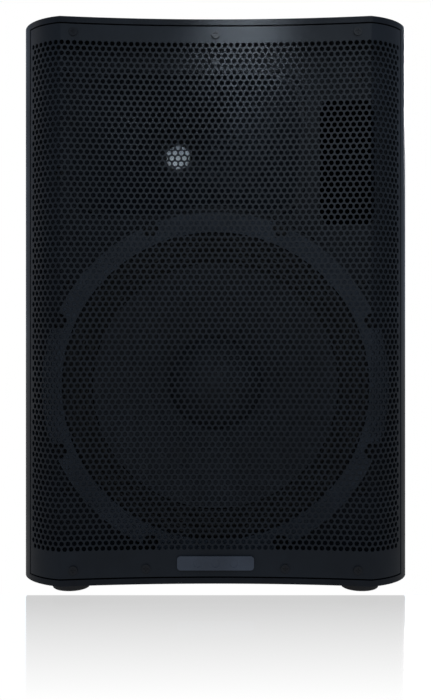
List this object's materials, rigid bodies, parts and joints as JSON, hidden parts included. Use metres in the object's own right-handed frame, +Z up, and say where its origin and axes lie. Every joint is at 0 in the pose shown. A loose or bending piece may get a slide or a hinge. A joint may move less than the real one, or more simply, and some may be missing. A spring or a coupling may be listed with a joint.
{
  "type": "pa speaker cabinet",
  "caption": "Two-way powered loudspeaker cabinet with a wrapped perforated grille, woofer, horn, rear amplifier, top handle and pole socket.",
  "frame": {"origin": "bottom centre of the bounding box, on the floor under the feet", "axes": "-Y is the front with the grille, +Z up, +X to the right as seen from the front"},
  "size_m": [0.348, 0.326, 0.51],
  "materials": {
    "shell": "fine moulded texture",
    "moulding": "satin moulding",
    "grille": "powder coat",
    "black_screws": "black oxide",
    "emblem": "satin grey-blue",
    "screen": "bright mesh",
    "frame_metal": "black paint",
    "gasket": "matte grey",
    "cloth": "doped cloth",
    "cone": "pressed pulp",
    "former": "film",
    "copper": "enamelled wire",
    "zinc": "zinc plated",
    "ferrite": "sintered",
    "terminal": "plated",
    "cover": "moulded",
    "lens": "clear lens",
    "board": "solder mask",
    "panel": "black anodised",
    "fins": "black anodised",
    "cans": "sleeve",
    "plastic": "moulded",
    "button": "moulded",
    "rubber": "matte"
  },
  "bodies": {
    "cabinet": {"side_walls": "shell", "top_wall": "shell", "bottom_wall": "shell", "rear_wall": "shell", "fixing_blocks": "shell", "amp_tray": "shell", "woofer_baffle": "moulding", "upper_baffle": "moulding", "waveguide": "moulding", "port_tube": "moulding", "baffle_screws": "black_screws", "grille": "grille", "grille_screws": "black_screws", "emblem": "emblem", "throat_screen": "screen", "woofer_frame": "frame_metal", "woofer_gasket": "gasket", "surround": "cloth", "spider": "cloth", "woofer_top_plate": "zinc", "woofer_magnet": "ferrite", "woofer_yoke": "zinc", "woofer_terminals": "terminal", "driver_housing": "frame_metal", "driver_magnet": "ferrite", "driver_cover": "cover", "driver_screws": "zinc", "indicator_lenses": "lens", "led_board": "board", "amp_panel": "panel", "panel_screws": "black_screws", "heatsink": "fins", "input_board": "board", "amp_board": "board", "board_standoffs": "terminal", "supply_parts": "cans", "combo_jacks": "plastic", "output_socket": "plastic", "aux_jack": "plastic", "control_bodies": "zinc", "power_frame": "plastic", "mains_inlet": "plastic", "handle_cup": "moulding", "handle_grip": "rubber", "pole_cup": "moulding", "inserts": "terminal", "feet": "rubber"},
    "cone_assembly": {"cone": "cone", "dust_cap": "cone", "coil_former": "former", "voice_coil": "copper"},
    "hf_diaphragm": {"driver_diaphragm": "zinc"},
    "knob_a": {"gain_knob_a": "plastic"},
    "knob_b": {"gain_knob_b": "plastic"},
    "knob_aux": {"aux_knob": "plastic"},
    "button_contour": {"contour_button": "button"},
    "button_link": {"link_button": "button"},
    "rocker": {"power_rocker": "plastic"},
    "tab_a": {"latch_a": "zinc"},
    "tab_b": {"latch_b": "zinc"}
  },
  "joints": [
    {"name": "cone_stroke", "type": "slide", "parent": "cabinet", "child": "cone_assembly", "axis": [0, -1, 0], "range_m": [-0.006, 0.006], "stiffness_N_per_m": 3000, "deforming": ["surround", "spider"]},
    {"name": "diaphragm_stroke", "type": "slide", "parent": "cabinet", "child": "hf_diaphragm", "axis": [0, -1, 0], "range_m": [-0.0003, 0.0003], "stiffness_N_per_m": 6000},
    {"name": "gain_a_turn", "type": "hinge", "parent": "cabinet", "child": "knob_a", "pos_m": [-0.06, 0.137, 0.318], "axis": [0, -1, 0], "range_deg": [-140, 140]},
    {"name": "gain_b_turn", "type": "hinge", "parent": "cabinet", "child": "knob_b", "pos_m": [-0.015, 0.137, 0.318], "axis": [0, -1, 0], "range_deg": [-140, 140]},
    {"name": "aux_turn", "type": "hinge", "parent": "cabinet", "child": "knob_aux", "pos_m": [0.03, 0.137, 0.318], "axis": [0, -1, 0], "range_deg": [-140, 140]},
    {"name": "contour_press", "type": "slide", "parent": "cabinet", "child": "button_contour", "axis": [0, -1, 0], "range_m": [0, 0.0025], "stiffness_N_per_m": 250},
    {"name": "link_press", "type": "slide", "parent": "cabinet", "child": "button_link", "axis": [0, -1, 0], "range_m": [0, 0.0025], "stiffness_N_per_m": 250},
    {"name": "rocker_tilt", "type": "hinge", "parent": "cabinet", "child": "rocker", "pos_m": [0.045, 0.139, 0.115], "axis": [1, 0, 0], "range_deg": [-20, 0]},
    {"name": "latch_a_press", "type": "slide", "parent": "cabinet", "child": "tab_a", "axis": [0, -1, 0], "range_m": [0, 0.0015], "stiffness_N_per_m": 200},
    {"name": "latch_b_press", "type": "slide", "parent": "cabinet", "child": "tab_b", "axis": [0, -1, 0], "range_m": [0, 0.0015], "stiffness_N_per_m": 200}
  ]
}
